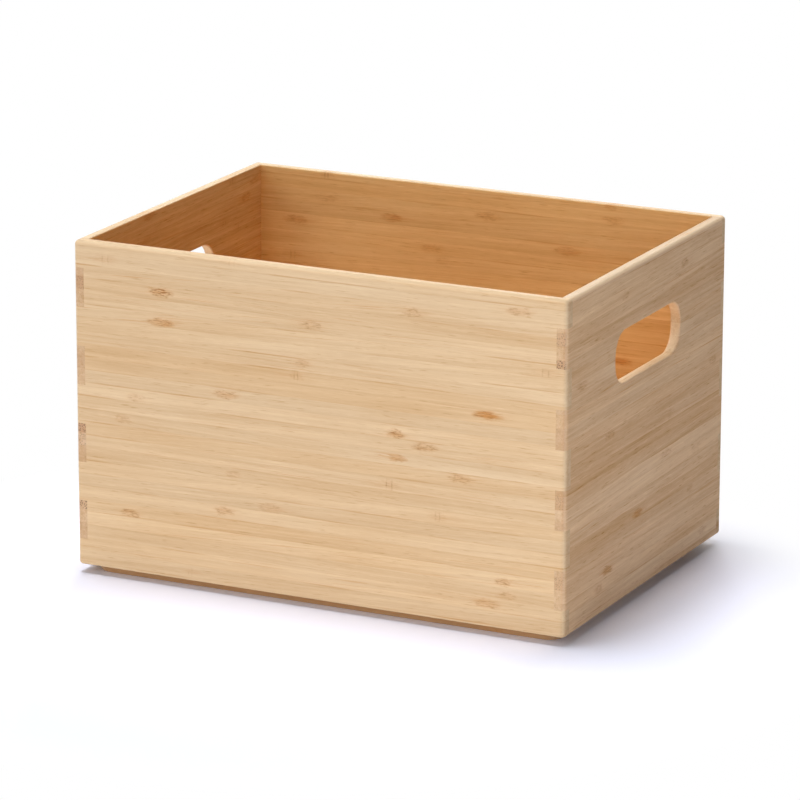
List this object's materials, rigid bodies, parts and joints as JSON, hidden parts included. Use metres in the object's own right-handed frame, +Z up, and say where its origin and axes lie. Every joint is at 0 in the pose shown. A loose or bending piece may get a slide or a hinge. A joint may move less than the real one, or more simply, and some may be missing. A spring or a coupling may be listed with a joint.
{
  "type": "stackable bamboo box",
  "caption": "Open-topped box of finger-jointed bamboo boards with a hand slot in each short side and an inset plinth underneath that drops into the rim of a like box.",
  "frame": {"origin": "under the middle of the plinth, on the surface that the box stands on", "axes": "+X along the length towards the right wall, +Y from the front wall to the back wall, +Z up"},
  "size_m": [0.36, 0.26, 0.231],
  "materials": {
    "long_wall_bamboo": "satin",
    "short_wall_bamboo": "satin",
    "floor_bamboo": "satin",
    "plinth_bamboo": "satin"
  },
  "bodies": {
    "root": {"front_wall": "long_wall_bamboo", "back_wall": "long_wall_bamboo", "left_wall": "short_wall_bamboo", "right_wall": "short_wall_bamboo", "floor_board": "floor_bamboo", "stacking_plinth": "plinth_bamboo"}
  },
  "joints": []
}
